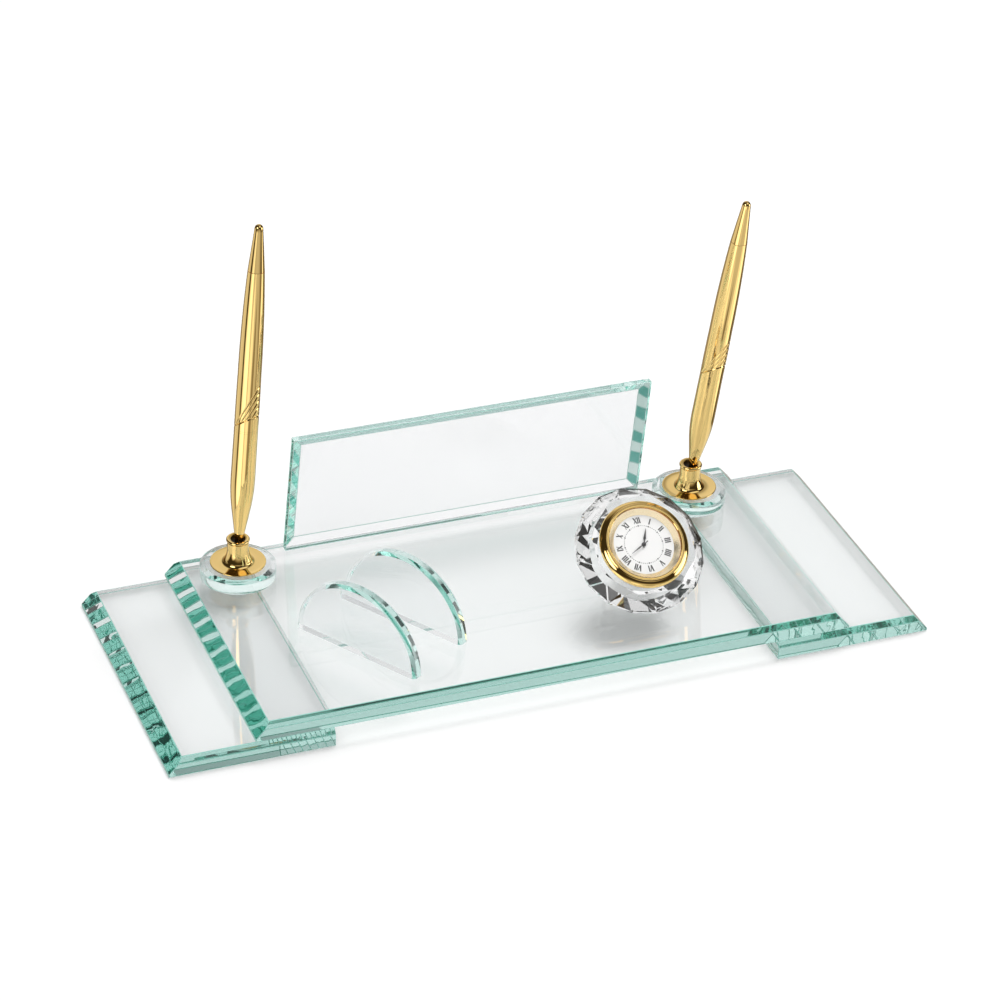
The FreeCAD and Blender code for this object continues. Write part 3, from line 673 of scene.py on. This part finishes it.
# what shows through the glass: a white tent with a few dark cards
cards = {"backHigh": ((0.35, 0.75, 0.55), 0.90, 0.97, 0.12),
         "backLow": ((-0.1, 0.95, 0.2), 0.96, 0.985, 0.3),
         "rightHigh": ((0.9, 0.1, 0.4), 0.975, 0.98, 0.9),
         "frontHigh": ((0.25, -0.75, 0.6), 0.972, 0.976, 0.96),
         "leftHigh": ((-0.7, 0.2, 0.7), 0.975, 0.98, 0.95),
         "top": ((0.4, 0.1, 0.9), 0.985, 0.99, 0.95)}
studio = {"room": 0.04, "tent": 0.97, "darkest": 0.015, "sky": 0.61, "backdrop": 1.0, "frameScale": 9.0,
          "rear": ((0, 1, 0), 0.1, 0.3, 0.9), "plainRear": ((0.42, 0.72, 0.53), 0.86, 0.93, 0.9),
          "flash": ((0.0, (1, 1, 1)), (0.42, (0, 0, 0))),
          "warmth": ((0.05, (1, 0.8, 0.45)), (0.5, (1, 1, 1)))}
world = bpy.data.worlds.new("Studio")
scene.world = world
world.use_nodes = True
sky = world.node_tree
direction = sky.nodes.new("ShaderNodeTexCoord").outputs["Generated"]


def softbox(toward, start, full, level):
    # level x smoothstep of the cosine between the ray and the box's direction
    dot = sky.nodes.new("ShaderNodeVectorMath")
    dot.operation = "DOT_PRODUCT"
    sky.links.new(direction, dot.inputs[0])
    dot.inputs[1].default_value = Vector(toward).normalized()
    step = sky.nodes.new("ShaderNodeMapRange")
    step.interpolation_type = "SMOOTHSTEP"
    sky.links.new(dot.outputs["Value"], step.inputs["Value"])
    setInputs(step, {"From Min": start, "From Max": full, "To Max": level})
    return step.outputs["Result"]


def background(strength, colour=None):
    node = sky.nodes.new("ShaderNodeBackground")
    node.inputs["Color"].default_value = (1, 1, 1, 1)
    if colour:
        sky.links.new(colour, node.inputs["Color"])
    if isinstance(strength, (int, float)):
        node.inputs["Strength"].default_value = strength
    else:
        sky.links.new(strength, node.inputs["Strength"])
    return node.outputs[0]


def mirroredRoom():
    level = studio["room"]
    for box in boxes.values():
        level = mathNode(sky, "ADD", softbox(*box), level)
    # the dim parts of the room are warm, as gold mirrors gold there
    warmth = sky.nodes.new("ShaderNodeValToRGB")
    setRamp(warmth, studio["warmth"])
    sky.links.new(level, warmth.inputs["Fac"])
    return background(level, warmth.outputs["Color"])


def whiteTent():
    level = studio["tent"]
    for card in cards.values():
        level = mathNode(sky, "SUBTRACT", level, softbox(*card))
    level = mathNode(sky, "MAXIMUM", level, studio["darkest"])
    # the tent's frames and cloths, seen as small flashes in the cut edges
    frames = sky.nodes.new("ShaderNodeTexVoronoi")
    setInputs(frames, {"Scale": studio["frameScale"]})
    sky.links.new(direction, frames.inputs["Vector"])
    flash = sky.nodes.new("ShaderNodeValToRGB")
    flash.color_ramp.interpolation = "CONSTANT"
    setRamp(flash, studio["flash"])
    sky.links.new(frames.outputs["Color"], flash.inputs["Fac"])
    rear = mathNode(sky, "SUBTRACT", softbox(*studio["rear"]), softbox(*studio["plainRear"]))
    rear = mathNode(sky, "MAXIMUM", rear, 0.0)
    shown = mathNode(sky, "SUBTRACT", 1.0, mathNode(sky, "MULTIPLY", rear, flash.outputs["Color"]))
    return background(mathNode(sky, "MULTIPLY", level, shown))


path = sky.nodes.new("ShaderNodeLightPath").outputs
mirrored = mixShaders(sky, path["Is Glossy Ray"], background(studio["sky"]), mirroredRoom())
through = mixShaders(sky, path["Is Transmission Ray"], mirrored, whiteTent())
seen = mixShaders(sky, path["Is Camera Ray"], through, background(studio["backdrop"]))
sky.links.new(seen, sky.nodes["World Output"].inputs["Surface"])

# lamps aimed at the middle: metres and watts
lamps = {"keyLight": {"at": (0.75, 0.55, 2.1), "size": 0.8, "power": 28.0},
         "fillLight": {"at": (-0.9, -0.9, 1.6), "size": 0.8, "power": 5.0}}
for name, setting in lamps.items():
    lamp = bpy.data.lights.new(name, "AREA")
    lamp.size = setting["size"]
    lamp.energy = setting["power"]
    lampObj = bpy.data.objects.new(name, lamp)
    lampObj.location = setting["at"]
    lampObj.rotation_euler = (-Vector(setting["at"])).to_track_quat("-Z", "Y").to_euler()
    lampObj.visible_glossy = lampObj.visible_transmission = False
    scene.collection.objects.link(lampObj)
print("studio done")

# camera fitted to the photo: focal length in pixels of the photo's width, angles in degrees
view = {"at": (-449.242, -1013.405 - halfDepth, 788.085), "yaw": 22.543, "pitch": 32.296, "roll": 2.598,
        "focal": 3637.456, "photoWidth": 1000, "sensor": 36, "reach": 50}
yaw, pitch, roll = (math.radians(view[k]) for k in ("yaw", "pitch", "roll"))
right = Vector((math.cos(yaw), -math.sin(yaw), 0))
ahead = Vector((math.sin(yaw) * math.cos(pitch), math.cos(yaw) * math.cos(pitch), -math.sin(pitch)))
upward = right.cross(ahead)
rolledRight = right * math.cos(roll) + upward * math.sin(roll)
rolledUp = upward * math.cos(roll) - right * math.sin(roll)
camData = bpy.data.cameras.new("Camera")
camData.sensor_width = view["sensor"]
camData.lens = view["focal"] * view["sensor"] / view["photoWidth"]
camData.clip_end = view["reach"]
cam = bpy.data.objects.new("Camera", camData)
basis = Matrix((rolledRight, rolledUp, -ahead)).transposed().to_4x4()
cam.matrix_world = Matrix.Translation(Vector(view["at"]) * mm) @ basis
scene.collection.objects.link(cam)
scene.camera = cam

lightBounces = 64  # long paths inside the glass
scene.view_settings.view_transform = "Standard"
for kind in ("max_bounces", "transmission_bounces", "transparent_max_bounces", "glossy_bounces"):
    setattr(scene.cycles, kind, lightBounces)
print("scene done")
